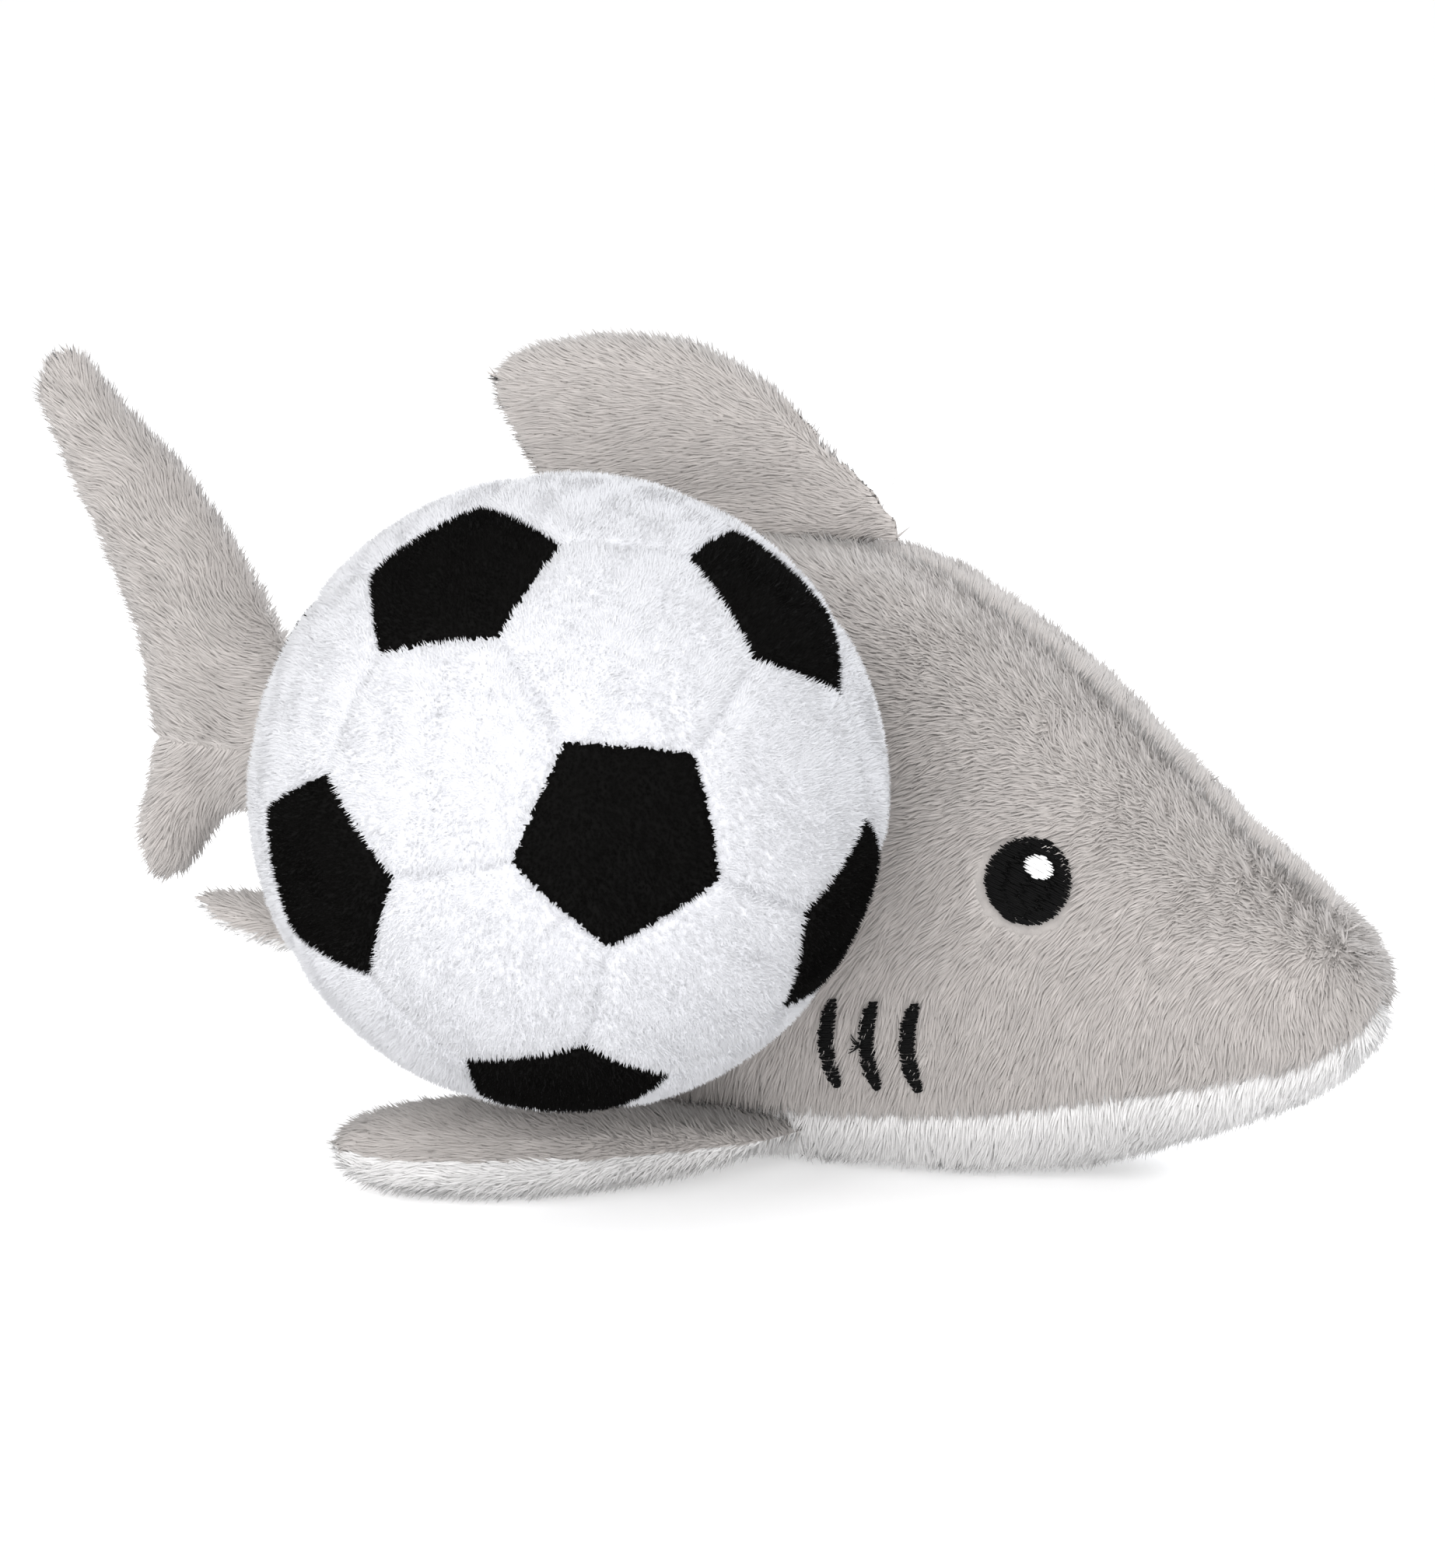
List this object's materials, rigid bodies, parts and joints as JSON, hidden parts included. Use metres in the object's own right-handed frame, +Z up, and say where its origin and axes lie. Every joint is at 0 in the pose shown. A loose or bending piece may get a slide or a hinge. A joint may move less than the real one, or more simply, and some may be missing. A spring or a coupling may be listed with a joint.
{
  "type": "plush shark with ball",
  "caption": "Stuffed plush shark with embroidered eyes and gills, padded fins and tail, and a small stuffed soccer ball sewn to one flank.",
  "frame": {"origin": "on the flat of the belly that the toy rests on, at ground level", "axes": "+X to the nose, +Y to the shark's left, +Z up; the ball is on the -Y flank"},
  "size_m": [0.2441, 0.2039, 0.1335],
  "materials": {
    "grey_plush": "short grey minky pile",
    "white_plush": "short white minky pile",
    "ball_white_plush": "clipped white plush",
    "ball_black_plush": "clipped black plush",
    "black_thread": "satin-stitched black rayon thread",
    "white_thread": "satin-stitched white rayon thread",
    "fibre_fill": "loose polyester fibre"
  },
  "bodies": {
    "body": {"right_side_panel": "grey_plush", "left_side_panel": "grey_plush", "belly_panel": "white_plush", "body_stuffing": "fibre_fill", "right_eye": "black_thread", "left_eye": "black_thread", "right_eye_highlight": "white_thread", "left_eye_highlight": "white_thread", "right_gill_stitches": "black_thread", "left_gill_stitches": "black_thread", "ball_tack_thread": "white_thread", "right_pectoral_upper_panel": "grey_plush", "right_pectoral_lower_panel": "white_plush", "right_pectoral_stuffing": "fibre_fill"},
    "tail": {"tail_right_panel": "grey_plush", "tail_left_panel": "grey_plush", "tail_stuffing": "fibre_fill"},
    "dorsal_fin": {"dorsal_fin_right_panel": "grey_plush", "dorsal_fin_left_panel": "grey_plush", "dorsal_fin_stuffing": "fibre_fill"},
    "left_pectoral_fin": {"left_pectoral_upper_panel": "grey_plush", "left_pectoral_lower_panel": "white_plush", "left_pectoral_stuffing": "fibre_fill"},
    "right_pelvic_fin": {"right_pelvic_upper_panel": "grey_plush", "right_pelvic_lower_panel": "white_plush"},
    "left_pelvic_fin": {"left_pelvic_upper_panel": "grey_plush", "left_pelvic_lower_panel": "white_plush"},
    "ball": {"ball_stuffing": "fibre_fill", "ball_black_panel_1": "ball_black_plush", "ball_black_panel_2": "ball_black_plush", "ball_black_panel_3": "ball_black_plush", "ball_black_panel_4": "ball_black_plush", "ball_black_panel_5": "ball_black_plush", "ball_black_panel_6": "ball_black_plush", "ball_black_panel_7": "ball_black_plush", "ball_black_panel_8": "ball_black_plush", "ball_black_panel_9": "ball_black_plush", "ball_black_panel_10": "ball_black_plush", "ball_black_panel_11": "ball_black_plush", "ball_black_panel_12": "ball_black_plush", "ball_white_panel_1": "ball_white_plush", "ball_white_panel_2": "ball_white_plush", "ball_white_panel_3": "ball_white_plush", "ball_white_panel_4": "ball_white_plush", "ball_white_panel_5": "ball_white_plush", "ball_white_panel_6": "ball_white_plush", "ball_white_panel_7": "ball_white_plush", "ball_white_panel_8": "ball_white_plush", "ball_white_panel_9": "ball_white_plush", "ball_white_panel_10": "ball_white_plush", "ball_white_panel_11": "ball_white_plush", "ball_white_panel_12": "ball_white_plush", "ball_white_panel_13": "ball_white_plush", "ball_white_panel_14": "ball_white_plush", "ball_white_panel_15": "ball_white_plush", "ball_white_panel_16": "ball_white_plush", "ball_white_panel_17": "ball_white_plush", "ball_white_panel_18": "ball_white_plush", "ball_white_panel_19": "ball_white_plush", "ball_white_panel_20": "ball_white_plush"}
  },
  "joints": [
    {"name": "tail_sway", "type": "hinge", "parent": "body", "child": "tail", "pos_m": [-0.069, 0, 0.0612], "axis": [0, 0, 1], "range_deg": [-12, 12], "stiffness_Nm_per_rad": 0.08},
    {"name": "dorsal_fin_lean", "type": "hinge", "parent": "body", "child": "dorsal_fin", "pos_m": [-0.03, 0, 0.10345], "axis": [0.9946, 0, 0.1039], "range_deg": [-25, 25], "stiffness_Nm_per_rad": 0.06},
    {"name": "left_pectoral_flap", "type": "hinge", "parent": "body", "child": "left_pectoral_fin", "pos_m": [-0.02, 0.0338, 0.0074], "axis": [1, 0, 0], "range_deg": [-25, 35], "stiffness_Nm_per_rad": 0.3},
    {"name": "right_pelvic_flap", "type": "hinge", "parent": "body", "child": "right_pelvic_fin", "pos_m": [-0.06101, -0.02227, 0.03986], "axis": [-0.848, 0.4217, 0.3212], "range_deg": [-15, 15], "stiffness_Nm_per_rad": 0.03},
    {"name": "left_pelvic_flap", "type": "hinge", "parent": "body", "child": "left_pelvic_fin", "pos_m": [-0.06101, 0.02227, 0.03986], "axis": [0.848, 0.4217, -0.3212], "range_deg": [-15, 15], "stiffness_Nm_per_rad": 0.03},
    {"name": "ball_rock", "type": "hinge", "parent": "body", "child": "ball", "pos_m": [0.008, -0.0378, 0.06577], "axis": [-1, 0, 0], "range_deg": [-4, 10], "stiffness_Nm_per_rad": 1.2}
  ]
}
